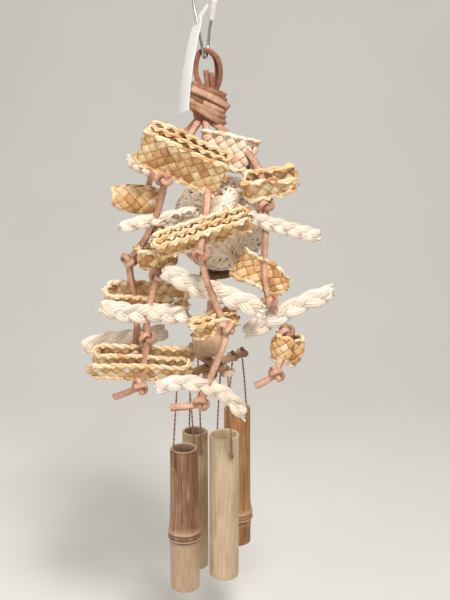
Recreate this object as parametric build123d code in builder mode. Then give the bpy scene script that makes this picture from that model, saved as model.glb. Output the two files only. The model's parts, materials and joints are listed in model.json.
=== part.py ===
"""Hanging garden chime: woven palm-leaf pieces and leaf braids threaded on knotted
leather laces round a vine ball, with a bead, a cross of bamboo slats and four bamboo
tubes below. It hangs from a wire hook by a leather loop.

Frame: millimetres, +Z up, +X to the right as seen from the front, +Y away from the
viewer. The origin is the top end of the hook's wire, and everything hangs below it.
"""
from build123d import *
import math
import os

os.makedirs("parts", exist_ok=True)

# ---- driving dimensions -------------------------------------------------------------
WIRE_RADIUS = 1.1          # steel hook wire
LACE_RADIUS = 2.2          # leather lace, as the round tube of the same girth
LACE_PLAY = 0.5            # gap between a lace and the hole it goes through
LOOSE_PLAY = 1.7           # the same in a piece that turns on its lace
KNOT_RADIUS = 4.9          # overhand knot in a lace
TWINE_RADIUS = 0.8         # jute twine that carries a tube
TWINE_KNOT_RADIUS = 1.6
WEAVE_WALL = 2.2           # one ply of woven palm leaf
BRAID_THICKNESS = 8.0
BALL_RADIUS = 39.6
BALL_STRIP = 1.3           # thickness of a vine strip
BALL_CENTRE = Vector(13, 5, -203)
BEAD_RADIUS = 14.2
BEAD_CENTRE = Vector(3, 0, -303)
DISC_RADIUS = 13.5
DISC_THICKNESS = 4.2
CROSS_CENTRE = Vector(3, 0, 0)
SLAT_WIDTH = 10.0
SLAT_THICKNESS = 4.8
SLAT_TOP = -317.6          # top face of the upper slat, just under the bead
TWINE_SPACING = 7.0        # from a tube's axis to each twine hole in its slat
HINGE_GAP = 1.5            # break in a lace where the strand below it swings


# ---- shared helpers -----------------------------------------------------------------
def bend_radii(points):
    """Largest soft bend for each corner of a route: 0.45 of its shorter run."""
    radii = []
    for before, corner, after in zip(points, points[1:], points[2:]):
        run_in = Vector(*corner) - Vector(*before)
        run_out = Vector(*after) - Vector(*corner)
        turn = math.radians(run_in.get_angle(run_out))
        shorter = min(run_in.length, run_out.length)
        radii.append(0.45 * shorter / math.tan(turn / 2))
    return radii


def round_tube(points, radius, knots=()):
    """A round cord along a route of straight runs and arcs, with its knots."""
    start = Vector(*points[0])
    with BuildPart() as cord:
        with BuildLine() as line:
            FilletPolyline(*points, radius=bend_radii(points))
        with BuildSketch(Plane(origin=start, z_dir=Vector(*points[1]) - start)):
            Circle(radius)
        sweep()
        if knots:
            with Locations(*knots):
                Sphere(KNOT_RADIUS)
    return cord, sum(edge.length for edge in line.edges())


def lengthened(route):
    """The route started a hinge gap higher, for a hole that goes on through the gap."""
    first, second = Vector(*route[0]), Vector(*route[1])
    return [tuple(first - (second - first).normalized() * 2 * HINGE_GAP), *route[1:]]


def save(name, builder):
    builder.part.label = name
    export_step(builder.part, f"parts/{name}.step")


def band_plane(centre, along, up):
    """Plane of a band's plan: x along the band, y through its plies, z up its width."""
    along = Vector(*along).normalized()
    up = Vector(*up)
    up = (up - along * up.dot(along)).normalized()
    return Plane(origin=Vector(*centre), x_dir=along, z_dir=up)


# ---- leather lace routes: each runs down from the binding ----------------------------
LACES = {
    "lace_front_left_upper": [
        (-4, -5, -120.6), (-12, -15, -132), (-21, -25, -146), (-27, -40, -154),
        (-30, -51, -166), (-34, -44, -184), (-41, -36, -199), (-46, -31, -211),
    ],
    "lace_front_left_lower": [
        (-46.6, -30, -212.7), (-54, -25, -221), (-60, -23, -229), (-60, -22, -240),
        (-57, -22, -254), (-55.5, -21.5, -269), (-55, -22, -284), (-56, -23, -297),
        (-55.5, -34.5, -307),
    ],
    "lace_back_left_upper": [
        (-6, 4, -120.6), (-19, 10, -134), (-33, 13, -149), (-42, 10, -162),
        (-46, -1, -173), (-43, -12, -186), (-39, -21, -199), (-37, -28, -211),
    ],
    "lace_back_left_lower": [
        (-36.6, -29.5, -212.7), (-35.5, -32, -224), (-36.5, -37, -237), (-40, -41, -250),
        (-44, -42, -264), (-46, -40, -278), (-46, -39, -290), (-47, -43, -303),
        (-48, -55, -314), (-50, -62, -322), (-60, -63, -327), (-71, -62, -331),
    ],
    "lace_front_upper": [
        (1, -8, -120.6), (3, -18, -133), (5, -26, -147), (4.5, -33, -160),
        (3.5, -42, -173), (3, -49, -184),
    ],
    "lace_front_lower": [
        (2.8, -50.5, -185.7), (1, -56, -197), (-1, -63, -207), (-1, -67, -217),
        (1, -68, -229), (4, -66, -240), (8, -58, -252), (12.5, -57, -264),
        (18, -65, -273), (16.5, -69, -285), (11, -69, -298), (6, -68, -311),
        (1.5, -67, -323), (-2, -67, -334), (-12, -68, -337), (-26, -68, -337.5),
    ],
    "lace_right_upper": [
        (6, -4, -120.6), (17, -10, -128), (31, -19, -139), (42, -30, -152),
        (47, -37, -166), (48, -38, -178), (48, -37.5, -187),
    ],
    "lace_right_lower": [
        (48, -37.3, -188.7), (48.3, -38, -201), (48, -37.5, -216), (47, -38, -231),
        (48.5, -41, -245), (51, -45, -256), (57, -41, -266), (63, -38, -275),
        (66, -36.5, -288), (64, -38.5, -299), (60, -46, -308), (57, -53, -315),
        (49, -53, -321), (41, -52, -325),
    ],
    "lace_core_upper": [
        (0, 1, -120.6), (4, 6, -134), (8, 7.5, -150), (11, 6, -168),
        (12.5, 5, -190), (12, 4.5, -215), (10, 3.6, -237), (6.4, 2.1, -254),
    ],
    "lace_core_lower": [
        (5.7, 1.8, -255.7), (4.6, 1, -271), (3.4, 0.3, -287), (3, 0, -303),
        (3.1, 0.1, -320), (2.9, 0, -336),
    ],
}
KNOTS = {
    "lace_front_left_upper": [(-29.5, -52.5, -161)],
    "lace_front_left_lower": [(-60, -23, -229), (-55.5, -35.2, -307.2)],
    "lace_back_left_upper": [(-36.5, -25.5, -203)],
    "lace_back_left_lower": [(-36.6, -37.5, -238.3), (-46, -39.5, -288), (-50, -62.5, -322)],
    "lace_front_lower": [(-1, -67.5, -216), (18, -65.5, -274), (-2, -67, -333.5)],
    "lace_right_upper": [(48, -38, -181.8)],
    "lace_right_lower": [(51.5, -46.5, -257), (65.6, -37, -284.4), (57.5, -53, -314.5)],
    "lace_core_lower": [(3, 0, -332)],
}

# ---- woven palm-leaf pieces: kind, centre, along, up, length, depth, width -----------
WOVEN = {
    "weave_top_front": ("fold", (-15, -38, -146), (59, 0, -26), (0, -0.5, 1), 66, 20, 28),
    "weave_left_tube": ("loop", (-54, -11, -181), (0, -1, -0.1), (1, 0, -0.08), 25, 22, 36),
    "weave_top_back": ("loop", (19, -19, -144), (47, 0, -9), (0, 0.1, 1), 46, 9, 26),
    "weave_right_top": ("vee", (51, -37, -166), (1, 0, 0.12), (0, -0.5, 1), 40, 17, 16),
    "weave_front_long": ("fold", (-1, -55, -200), (70, 0, 22), (0, -0.9, 1), 74, 15, 13),
    "weave_left_small": ("loop", (-37.5, -33, -225), (1, 0, -0.12), (0, -0.2, 1), 33, 16, 13),
    "weave_left_loop": ("loop", (-47, -22, -259), (1, 0, -0.05), (0, -0.45, 1), 68, 22, 12),
    "weave_right_mid": ("vee", (46.5, -34, -238.5), (40, 0, -22), (0, 0.1, 1), 43, 13, 21),
    "weave_right_low": ("loop", (67, -37.3, -298.5), (1, 0, -0.2), (0, -0.15, 1), 28, 20, 21),
    "weave_front_low": ("fold", (8, -54, -272.5), (1, 0, 0.28), (0, -0.5, 1), 34, 14, 12),
    "weave_left_fold": ("fold", (-50, -41.5, -309), (1, 0, -0.04), (0, 0.4, -1), 78, 27, 12),
}

# ---- leaf braids: width and centre line ----------------------------------------------
BRAIDS = {
    "braid_left_back": (13, [(-61, 11, -153), (-46, 12, -160), (-30, 11, -169)]),
    "braid_left_top": (11, [(-64, -39, -200), (-49, -40, -195.5), (-28, -38.5, -192),
                            (-6, -38, -187)]),
    "braid_right_top": (12.5, [(29, -39.5, -188), (44, -39, -194), (66, -37, -201),
                               (90, -36, -207)]),
    "braid_left_mid": (17, [(-81, -41, -264), (-60, -41.5, -267.5), (-38, -41, -268),
                            (-13, -40.5, -269)]),
    "braid_front_mid": (17, [(-30, -50, -231), (-10, -53, -241), (15, -56, -249),
                             (44, -58.5, -260)]),
    "braid_right_long": (16, [(34, -38, -285), (55, -39, -273), (78, -38, -261),
                              (101, -37, -252)]),
    "braid_front_low": (13.5, [(-37, -66, -322), (-16, -67, -317), (4, -67, -321),
                               (19, -67, -329), (31, -67, -343)]),
    "braid_left_low": (17, [(-100, -11, -306), (-80, -11, -300), (-57, -12, -297),
                            (-33, -11, -292)]),
}

TURNING = ("weave_right_top", "weave_right_low", "braid_right_top", "braid_right_long",
           "braid_front_low")  # pieces free to turn a little on their lace

# ---- tubes: position, slat, outer radius, wall, top, length, knuckle below the top ----
TUBES = {
    "front_left": ((-17.8, -26.9), 12.6, 2.9, -388, 128, 82, 0.7),
    "back_left": ((-10.0, 27.0), 11.4, 2.4, -394, 131, None, 0.0),
    "front_right": ((16.0, -27.0), 12.5, 2.4, -375.5, 129, None, 0.0),
    "back_right": ((27.5, 31.6), 12.6, 2.6, -373, 130, 105, 1.1),
}
LONG_SLAT = ("front_left", "back_right")
SHORT_SLAT = ("back_left", "front_right")


# ---- hook, its cap and the blank tag -------------------------------------------------
HOOK_ROUTE = [
    (0, 0, 0), (0, 0, -9), (-8.5, -3, -27), (-4.2, -8, -47), (-1.4, -8, -62),
    (0.2, -5.2, -71.3), (2, 4.2, -71.3), (3.4, 7.6, -62), (4.4, 8, -50),
    (5.6, 7.4, -44), (8.2, 6, -29.5),
]
HOOK_RADII = [12, 22, 20, 3.6, 3.6, 3.6, 3.6, 20, 20]
CAP_BASE = Vector(5.9, 7.25, -42.5)
CAP_DIRECTION = (Vector(*HOOK_ROUTE[-1]) - Vector(*HOOK_ROUTE[-2])).normalized()
CAP_LENGTH = 15.5
CAP_RADIUS = 2.6

with BuildPart() as hook:
    with BuildLine():
        FilletPolyline(*HOOK_ROUTE, radius=HOOK_RADII)
    with BuildSketch(Plane.XY):
        Circle(WIRE_RADIUS)
    sweep()
save("hook", hook)

with BuildPart() as hook_cap:
    with BuildSketch(Plane(origin=CAP_BASE, z_dir=CAP_DIRECTION)):
        Circle(CAP_RADIUS)
    extrude(amount=CAP_LENGTH)
    fillet(hook_cap.edges().sort_by(Axis.Z)[-1], 0.8)
    add(hook.part, mode=Mode.SUBTRACT)
save("hook_cap", hook_cap)

TAG_HOLE = Vector(-4.4, -7.6, -46)
TAG_HANG = Vector(-0.15, -0.42, -0.9).normalized()
TAG_ACROSS = Vector(0.45, -0.83, 0.31)
TAG_ACROSS = (TAG_ACROSS - TAG_HANG * TAG_ACROSS.dot(TAG_HANG)).normalized()
TAG_WIDTH = 18.0
TAG_LENGTH = 74.0
TAG_SHEET = 0.6
TAB_RISE = Vector(0.55, -0.1, 0.82).normalized()   # the tab above the hole leans over
TAB_ACROSS = (TAG_ACROSS - TAB_RISE * TAG_ACROSS.dot(TAB_RISE)).normalized()
TAB_LENGTH = 17.0
with BuildPart() as blank_tag:
    with BuildSketch(Plane(origin=TAG_HOLE, x_dir=TAG_ACROSS,
                           z_dir=TAG_ACROSS.cross(TAG_HANG))):
        with BuildLine():
            Polyline((-6, -4.5), (6, -4.5), (TAG_WIDTH / 2, 5),
                     (TAG_WIDTH / 2, TAG_LENGTH), (-TAG_WIDTH / 2, TAG_LENGTH),
                     (-TAG_WIDTH / 2, 5), close=True)
        make_face()
        Circle(3.3, mode=Mode.SUBTRACT)
    extrude(amount=TAG_SHEET / 2, both=True)
    with BuildSketch(Plane(origin=TAG_HOLE - TAG_HANG * 4.3, x_dir=TAB_ACROSS,
                           z_dir=TAB_ACROSS.cross(-TAB_RISE))):
        with BuildLine():
            Polyline((-6, 0.3), (6, 0.3), (3.5, -TAB_LENGTH + 4), (-3.5, -TAB_LENGTH + 4),
                     close=True)
        make_face()
    extrude(amount=TAG_SHEET / 2, both=True)
save("blank_tag", blank_tag)

# ---- leather loop and binding --------------------------------------------------------
LOOP_ROUTE = [
    (1.5, 0, -113), (-1, 0, -98), (-6, 0, -84), (-5.4, 0, -73), (-2.3, 0, -66.6),
    (4.5, 0, -66.4), (10.5, 0, -73), (11.6, 0, -86), (7.5, 0, -99), (5, 0, -113),
]
LOOP_HALF_GAP = 2.35       # half the distance between the loop's two straps
LOOP_STRAP = 2.2
BINDING_CENTRE = Vector(2.4, 0, -106.5)
BINDING_TURNS = 5
BINDING_PITCH = 5.6

with BuildPart() as hanging_loop:
    for side in (-1, 1):
        with BuildLine():
            FilletPolyline(*[(x, y + side * LOOP_HALF_GAP, z) for x, y, z in LOOP_ROUTE],
                           radius=[30, 22, 11, 5.4, 5.4, 11, 20, 30])
        with BuildSketch(Plane(origin=(LOOP_ROUTE[0][0], side * LOOP_HALF_GAP, LOOP_ROUTE[0][2]),
                               z_dir=Vector(*LOOP_ROUTE[1]) - Vector(*LOOP_ROUTE[0]))):
            Circle(LOOP_STRAP)
        sweep()
    with BuildSketch(Plane(origin=(5.2, 0, -107), z_dir=(-0.1, 0, 1))):
        RectangleRounded(5, 7, 1.2)
    extrude(amount=27)
save("hanging_loop", hanging_loop)

with BuildPart() as binding:
    for turn in range(BINDING_TURNS):
        offset_z = (turn - (BINDING_TURNS - 1) / 2) * BINDING_PITCH
        centre = BINDING_CENTRE + Vector(0, 0, offset_z)
        with BuildSketch(Plane(origin=centre, z_dir=(0.24, 0, 1))):
            Ellipse(15.6, 13.4)
        extrude(amount=BINDING_PITCH / 2 + 0.15, both=True)
    add(hanging_loop.part, mode=Mode.SUBTRACT)
    split(bisect_by=Plane.XY.offset(-118.8), keep=Keep.TOP)
save("binding", binding)

# ---- laces ---------------------------------------------------------------------------
lace_holes = []            # every lace a little fatter, to cut its hole in what it threads
loose_holes = []
for name, route in LACES.items():
    lace, route_length = round_tube(route, LACE_RADIUS, KNOTS.get(name, ()))
    plain_tube, _ = round_tube(route, LACE_RADIUS)
    lace_holes.append(round_tube(route, LACE_RADIUS + LACE_PLAY)[0].part)
    loose_holes.append(round_tube(lengthened(route), LACE_RADIUS + LOOSE_PLAY)[0].part)
    section = math.pi * LACE_RADIUS**2
    print(f"{name}: {route_length:.0f} mm, volume / section x length = "
          f"{plain_tube.part.volume / (section * route_length):.3f}, smallest bend "
          f"{min(bend_radii(route)):.1f} mm")
    save(name, lace)


# ---- woven pieces --------------------------------------------------------------------
def woven_band(holes, kind, centre, along, up, length, depth, width):
    """A strip of woven leaf bent in plan as a closed loop, a vee or three plies."""
    end, side = length / 2, depth / 2
    with BuildPart() as band:
        with BuildSketch(band_plane(centre, along, up)):
            if kind == "loop":
                SlotOverall(length, depth)
                SlotOverall(length - 2 * WEAVE_WALL, depth - 2 * WEAVE_WALL,
                            mode=Mode.SUBTRACT)
            elif kind == "vee":
                with BuildLine():
                    FilletPolyline((end, side - 1), (-end, side - 1), (-end, 1 - side),
                                   (end, -side / 2), radius=side * 0.55)
                trace(line_width=WEAVE_WALL)
            else:
                with BuildLine():
                    FilletPolyline((-end, side - 1), (end, side - 1), (end, 0), (-end, 0),
                                   (-end, 1 - side), (end, 1 - side),
                                   radius=(side - 1) * 0.49)
                trace(line_width=WEAVE_WALL)
        extrude(amount=width / 2, both=True)
        for hole in holes:
            add(hole, mode=Mode.SUBTRACT)
    return band


for name, spec in WOVEN.items():
    save(name, woven_band(loose_holes if name in TURNING else lace_holes, *spec))


# ---- braids --------------------------------------------------------------------------
def braid(holes, width, points):
    """A flat braid: a rounded bar bent softly along its centre line."""
    start = Vector(*points[0])
    with BuildPart() as bar:
        with BuildLine():
            FilletPolyline(*points, radius=bend_radii(points))
        with BuildSketch(Plane(origin=start, x_dir=(0, 1, 0),
                               z_dir=Vector(*points[1]) - start)):
            RectangleRounded(BRAID_THICKNESS, width, BRAID_THICKNESS * 0.42)
        sweep()
        for hole in holes:
            add(hole, mode=Mode.SUBTRACT)
    return bar


for name, spec in BRAIDS.items():
    save(name, braid(loose_holes if name in TURNING else lace_holes, *spec))

# ---- vine ball: great-circle strips with open gaps, and a ring round each pole --------
BALL_RINGS = 7
RING_TILTS = (62, 74)      # degrees from level, so that the poles stay open
RING_WIDTH = 5.0
with BuildPart() as vine_ball:
    for index in range(BALL_RINGS):
        turn = math.radians(index * 360 / BALL_RINGS)
        tilt = math.radians(RING_TILTS[index % 2])
        normal = Vector(math.sin(tilt) * math.cos(turn), math.sin(tilt) * math.sin(turn),
                        math.cos(tilt))
        with BuildSketch(Plane(origin=BALL_CENTRE, z_dir=normal)):
            Circle(BALL_RADIUS)
            Circle(BALL_RADIUS - BALL_STRIP, mode=Mode.SUBTRACT)
        extrude(amount=RING_WIDTH / 2, both=True)
    with BuildSketch(Plane(origin=BALL_CENTRE)):
        Circle(BALL_RADIUS)
        Circle(BALL_RADIUS - BALL_STRIP, mode=Mode.SUBTRACT)
    extrude(amount=RING_WIDTH / 2, both=True)
save("vine_ball", vine_ball)

# ---- disc, bead and slats ------------------------------------------------------------
core_hole = lace_holes[list(LACES).index("lace_core_upper")]
drop_hole = lace_holes[list(LACES).index("lace_core_lower")]
with BuildPart() as spacer_disc:
    with BuildSketch(Plane.XY.offset(BALL_CENTRE.Z - BALL_RADIUS - 1 - DISC_THICKNESS)):
        with Locations((9, 3)):
            Circle(DISC_RADIUS)
    extrude(amount=DISC_THICKNESS)
    fillet(spacer_disc.edges().filter_by(GeomType.CIRCLE), 1.0)
    add(core_hole, mode=Mode.SUBTRACT)
save("spacer_disc", spacer_disc)

with BuildPart() as bead:
    with Locations(BEAD_CENTRE):
        Sphere(BEAD_RADIUS)
    add(drop_hole, mode=Mode.SUBTRACT)
save("bead", bead)


def slat_direction(names):
    first, second = (Vector(*TUBES[name][0]) for name in names)
    return (second - first).normalized()


def slat(names, top, half_length):
    """A half-round strip of split bamboo with a twine hole each side of each tube."""
    direction = slat_direction(names)
    plane = Plane(origin=CROSS_CENTRE + Vector(0, 0, top), x_dir=Vector(0, 0, 1).cross(direction),
                  z_dir=direction)
    with BuildPart() as strip:
        with BuildSketch(plane):
            with BuildLine():
                ThreePointArc((-SLAT_WIDTH / 2, -SLAT_THICKNESS + 1.6), (0, 0),
                              (SLAT_WIDTH / 2, -SLAT_THICKNESS + 1.6))
                Polyline((SLAT_WIDTH / 2, -SLAT_THICKNESS + 1.6),
                         (SLAT_WIDTH / 2 - 0.8, -SLAT_THICKNESS),
                         (-SLAT_WIDTH / 2 + 0.8, -SLAT_THICKNESS),
                         (-SLAT_WIDTH / 2, -SLAT_THICKNESS + 1.6))
            make_face()
        extrude(amount=half_length, both=True)
        for name in names:
            middle = Vector(*TUBES[name][0])
            for side in (-1, 1):
                with Locations(middle + direction * (side * TWINE_SPACING) + Vector(0, 0, top)):
                    Cylinder(TWINE_RADIUS + 0.4, 4 * SLAT_THICKNESS, mode=Mode.SUBTRACT)
        add(drop_hole, mode=Mode.SUBTRACT)
    return strip


LONG_TOP = SLAT_TOP - SLAT_THICKNESS - 0.1
save("slat_short", slat(SHORT_SLAT, SLAT_TOP, 40))
save("slat_long", slat(LONG_SLAT, LONG_TOP, 50))


def slat_top_of(name):
    return LONG_TOP if name in LONG_SLAT else SLAT_TOP


def slat_of(name):
    return LONG_SLAT if name in LONG_SLAT else SHORT_SLAT


with BuildPart() as twine_knots:
    for name, values in TUBES.items():
        along = slat_direction(slat_of(name))
        for side in (-1, 1):
            spot = Vector(*values[0]) + along * (side * TWINE_SPACING)
            with Locations(spot + Vector(0, 0, slat_top_of(name) + TWINE_KNOT_RADIUS)):
                Sphere(TWINE_KNOT_RADIUS)
save("twine_knots", twine_knots)

# ---- bamboo tubes and the twine that each hangs on -----------------------------------
HOLE_DROP = 15.0           # twine hole below a tube's rim


def chime_tube(place, outer, wall, top, length, knuckle, swell, hole_axis):
    """A cut length of bamboo: a bore, and a knuckle with its wall where it has one."""
    x, y = place
    bore = outer - wall
    with BuildPart() as tube:
        with BuildSketch(Plane(origin=(x, y, 0), x_dir=(1, 0, 0), z_dir=(0, -1, 0))):
            with BuildLine():
                if knuckle:
                    ring = top - knuckle
                    Polyline((bore, top), (outer, top), (outer, ring + 6))
                    ThreePointArc((outer, ring + 6), (outer + swell, ring), (outer, ring - 6))
                    Polyline((outer, ring - 6), (outer, top - length), (bore, top - length),
                             (bore, ring - 1.5), (0, ring - 1.5), (0, ring + 1.5),
                             (bore, ring + 1.5), (bore, top))
                else:
                    Polyline((bore, top), (outer, top), (outer, top - length),
                             (bore, top - length), (bore, top))
            make_face()
        revolve(axis=Axis((x, y, 0), (0, 0, 1)))
        with BuildSketch(Plane(origin=(x, y, top - HOLE_DROP), z_dir=hole_axis)):
            Circle(TWINE_RADIUS + 0.6)
        extrude(amount=2 * outer, both=True, mode=Mode.SUBTRACT)
    return tube


def twine_pair(name, place, outer, top):
    """Both legs of a tube's twine, from under the slat down into the wall's holes."""
    along = slat_direction(slat_of(name))
    start_z = slat_top_of(name) - SLAT_THICKNESS - 0.6
    hole_z = top - HOLE_DROP
    with BuildPart() as pair:
        for side in (-1, 1):
            middle = Vector(*place)
            hang = middle + along * (side * TWINE_SPACING) + Vector(0, 0, start_z)
            rim = middle + along * (side * (outer + 1.5)) + Vector(0, 0, top + 2)
            low = middle + along * (side * (outer + 1.5)) + Vector(0, 0, hole_z)
            with BuildLine():
                FilletPolyline(hang, rim, low, radius=25)
            with BuildSketch(Plane(origin=hang, z_dir=rim - hang)):
                Circle(TWINE_RADIUS)
            sweep()
            with Locations(low):
                Sphere(1.3)
    return pair


for name, (place, outer, wall, top, length, knuckle, swell) in TUBES.items():
    along = slat_direction(slat_of(name))
    save(f"tube_{name}", chime_tube(place, outer, wall, top, length, knuckle, swell, along))
    save(f"twine_{name}", twine_pair(name, place, outer, top))
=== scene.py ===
"""Looks of the hanging chime: leaf weave, braids, leather laces, bamboo and the rest,
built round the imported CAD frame. Lengths in the tables are millimetres, as in the CAD."""
import json
import math
import random

import bpy
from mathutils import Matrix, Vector, noise


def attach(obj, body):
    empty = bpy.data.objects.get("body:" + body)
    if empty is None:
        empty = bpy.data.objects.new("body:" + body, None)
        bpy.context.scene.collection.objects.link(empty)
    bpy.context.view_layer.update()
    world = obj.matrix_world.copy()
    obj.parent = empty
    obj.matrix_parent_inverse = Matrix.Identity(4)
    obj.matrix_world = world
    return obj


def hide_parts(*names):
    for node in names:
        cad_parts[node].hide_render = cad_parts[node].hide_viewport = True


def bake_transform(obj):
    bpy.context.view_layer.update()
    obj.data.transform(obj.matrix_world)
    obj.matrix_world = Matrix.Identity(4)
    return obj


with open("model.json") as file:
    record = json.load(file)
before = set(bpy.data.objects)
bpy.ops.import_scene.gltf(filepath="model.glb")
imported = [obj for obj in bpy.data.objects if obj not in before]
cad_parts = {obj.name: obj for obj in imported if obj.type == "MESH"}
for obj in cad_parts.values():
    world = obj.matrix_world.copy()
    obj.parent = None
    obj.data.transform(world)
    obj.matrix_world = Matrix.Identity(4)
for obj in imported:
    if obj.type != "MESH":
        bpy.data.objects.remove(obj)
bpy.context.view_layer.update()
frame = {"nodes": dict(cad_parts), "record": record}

MM = 0.001
RIGHT = Vector((1, 0, 0))
BACK = Vector((0, 1, 0))
UP = Vector((0, 0, 1))
LEAF_STEPS = (0, 0.2, 0.4, 0.6, 0.8, 1.0)      # shares along a loose strip of leaf
NOISE_SEED = 1794989472    # without one, mathutils seeds its vector noise from the clock
noise.seed_set(NOISE_SEED)


# ---- camera, light and backdrop --------------------------------------------------------
CAMERA_DISTANCE = 0.833
CAMERA_PITCH = math.radians(14)
CAMERA_FIELD = 2 * math.atan(0.3)
AIM = Vector((0.0167, 0, -0.2675))
FLOOR_Z = -0.60
WALL_Y = 1.35


def make_camera():
    camera = bpy.data.cameras.new("camera")
    camera.sensor_fit = "VERTICAL"
    camera.angle = CAMERA_FIELD
    holder = bpy.data.objects.new("camera", camera)
    bpy.context.collection.objects.link(holder)
    view = Vector((0, math.cos(CAMERA_PITCH), -math.sin(CAMERA_PITCH)))
    holder.location = AIM - view * CAMERA_DISTANCE
    holder.rotation_euler = (math.pi / 2 - CAMERA_PITCH, 0, 0)
    bpy.context.scene.camera = holder


def make_light(name, place, target, size, power, colour):
    lamp = bpy.data.lights.new(name, "AREA")
    lamp.shape = "DISK"
    lamp.size = size
    lamp.energy = power
    lamp.color = colour
    holder = bpy.data.objects.new(name, lamp)
    bpy.context.collection.objects.link(holder)
    holder.location = place
    holder.rotation_euler = (Vector(target) - Vector(place)).to_track_quat("-Z", "Y").to_euler()


def make_world():
    world = bpy.data.worlds.new("studio")
    bpy.context.scene.world = world
    world.use_nodes = True
    background = world.node_tree.nodes["Background"]
    background.inputs["Color"].default_value = (1.0, 0.985, 0.96, 1)
    background.inputs["Strength"].default_value = 0.38
    bpy.context.scene.view_settings.view_transform = "Standard"


# ---- node helpers ----------------------------------------------------------------------
class Paint:
    """A principled material, with short calls for the nodes it is built from."""

    def __init__(self, name, roughness=0.6, **fixed):
        self.material = bpy.data.materials.new(name)
        self.material.use_nodes = True
        self.nodes = self.material.node_tree.nodes
        self.links = self.material.node_tree.links
        self.shader = self.nodes["Principled BSDF"]
        self.shader.inputs["Roughness"].default_value = roughness
        for key, value in fixed.items():
            self.shader.inputs[key.replace("_", " ")].default_value = value

    def add(self, kind, **values):
        node = self.nodes.new(kind)
        for key, value in values.items():
            if hasattr(node, key):
                setattr(node, key, value)
            else:
                node.inputs[key.replace("_", " ")].default_value = value
        return node

    def place(self, scale=(1, 1, 1)):
        """Object position in millimetres, stretched by scale."""
        spot = self.add("ShaderNodeTexCoord").outputs["Object"]
        return self.stretch(spot, [1000 * s for s in scale])

    def leaf(self, scale=(1, 1, 1)):
        """Position along and across the strip, and the strip's own number."""
        spot = self.add("ShaderNodeAttribute", attribute_name="leaf").outputs["Vector"]
        return self.stretch(spot, scale)

    def stretch(self, spot, scale):
        mapping = self.add("ShaderNodeMapping")
        mapping.inputs["Scale"].default_value = scale
        self.links.new(spot, mapping.inputs["Vector"])
        return mapping.outputs["Vector"]

    def noise(self, spot, scale, detail=3.0, rough=0.55):
        node = self.add("ShaderNodeTexNoise", Scale=scale, Detail=detail, Roughness=rough)
        self.links.new(spot, node.inputs["Vector"])
        return node.outputs["Fac"]

    def value(self, name):
        return self.add("ShaderNodeAttribute", attribute_name=name).outputs["Fac"]

    def ramp(self, factor, stops):
        node = self.add("ShaderNodeValToRGB")
        ramp = node.color_ramp
        while len(ramp.elements) < len(stops):
            ramp.elements.new(0.5)
        for element, (position, colour) in zip(ramp.elements, stops):
            element.position = position
            element.color = (*colour, 1) if len(colour) == 3 else colour
        self.links.new(factor, node.inputs["Fac"])
        return node.outputs["Color"]

    def mix(self, factor, first, second, blend="MIX"):
        node = self.add("ShaderNodeMix", data_type="RGBA", blend_type=blend)
        for socket, value in ((0, factor), (6, first), (7, second)):
            if isinstance(value, (int, float)):
                node.inputs[socket].default_value = value
            elif isinstance(value, tuple):
                node.inputs[socket].default_value = (*value, 1)
            else:
                self.links.new(value, node.inputs[socket])
        return node.outputs[2]

    def math(self, operation, first, second=0.0):
        node = self.add("ShaderNodeMath", operation=operation)
        for socket, value in ((0, first), (1, second)):
            if isinstance(value, (int, float)):
                node.inputs[socket].default_value = value
            else:
                self.links.new(value, node.inputs[socket])
        return node.outputs[0]

    def colour(self, source):
        self.links.new(source, self.shader.inputs["Base Color"])

    def rough(self, source, low, high):
        node = self.add("ShaderNodeMapRange")
        node.inputs["To Min"].default_value = low
        node.inputs["To Max"].default_value = high
        self.links.new(source, node.inputs["Value"])
        self.links.new(node.outputs["Result"], self.shader.inputs["Roughness"])

    def bump(self, *layers):
        """Each layer is a height and its depth in millimetres."""
        normal = None
        for height, depth in layers:
            node = self.add("ShaderNodeBump", Strength=1.0)
            node.inputs["Distance"].default_value = depth * MM
            self.links.new(height, node.inputs["Height"])
            if normal:
                self.links.new(normal, node.inputs["Normal"])
            normal = node.outputs["Normal"]
        self.links.new(normal, self.shader.inputs["Normal"])


# ---- materials -------------------------------------------------------------------------
def leaf_paint(name, stops, streak, fibre=0.16, gloss=(0.42, 0.62)):
    """Dry leaf strip: streaks and fibres run along each strip, and strips differ."""
    paint = Paint(name, Specular_IOR_Level=0.35, Subsurface_Weight=0.06)
    paint.shader.inputs["Subsurface Radius"].default_value = (0.004, 0.0025, 0.0012)
    streaks = paint.noise(paint.leaf((0.10, 1.5, 7.3)), 1.0, 4)
    fibres = paint.noise(paint.leaf((0.18, 5.0, 3.1)), 1.0, 5, 0.65)
    patches = paint.noise(paint.place(), 0.05, 2)
    blend = paint.math("MULTIPLY_ADD", paint.value("tint"), 1.0)
    blend.node.inputs[2].default_value = -0.16
    blend = paint.math("ADD", blend, paint.math("MULTIPLY", streaks, 0.34))
    base = paint.ramp(blend, stops)
    marks = paint.ramp(fibres, [(0.36, streak), (0.52, (1, 1, 1))])
    base = paint.mix(0.55, base, marks, "MULTIPLY")
    warm = paint.ramp(patches, [(0.35, (0.93, 0.86, 0.78)), (0.62, (1, 1, 1))])
    paint.colour(paint.mix(0.6, base, warm, "MULTIPLY"))
    paint.rough(streaks, *gloss)
    paint.bump((fibres, fibre), (streaks, 0.3))
    return paint.material


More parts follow.
